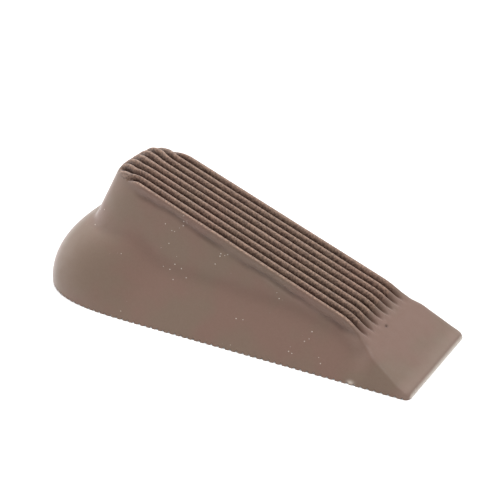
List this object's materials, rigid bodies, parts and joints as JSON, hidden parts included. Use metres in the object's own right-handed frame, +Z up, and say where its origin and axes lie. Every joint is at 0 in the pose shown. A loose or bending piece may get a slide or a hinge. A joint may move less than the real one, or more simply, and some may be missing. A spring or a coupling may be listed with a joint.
{
  "type": "door stop",
  "caption": "One-piece moulded rubber floor wedge that jams under a door: flared foot, rounded heel, ribbed slope and a thin smooth tip.",
  "frame": {"origin": "on the floor, at the middle of the length and of the width", "axes": "+X towards the thin tip that goes under the door, +Y across, +Z up; the object is the same on both sides of the XZ plane"},
  "size_m": [0.1714, 0.089, 0.0508],
  "materials": {
    "rubber": "matt moulded brown rubber with a faint bloom"
  },
  "bodies": {
    "root": {"wedge_body": "rubber"}
  },
  "joints": []
}
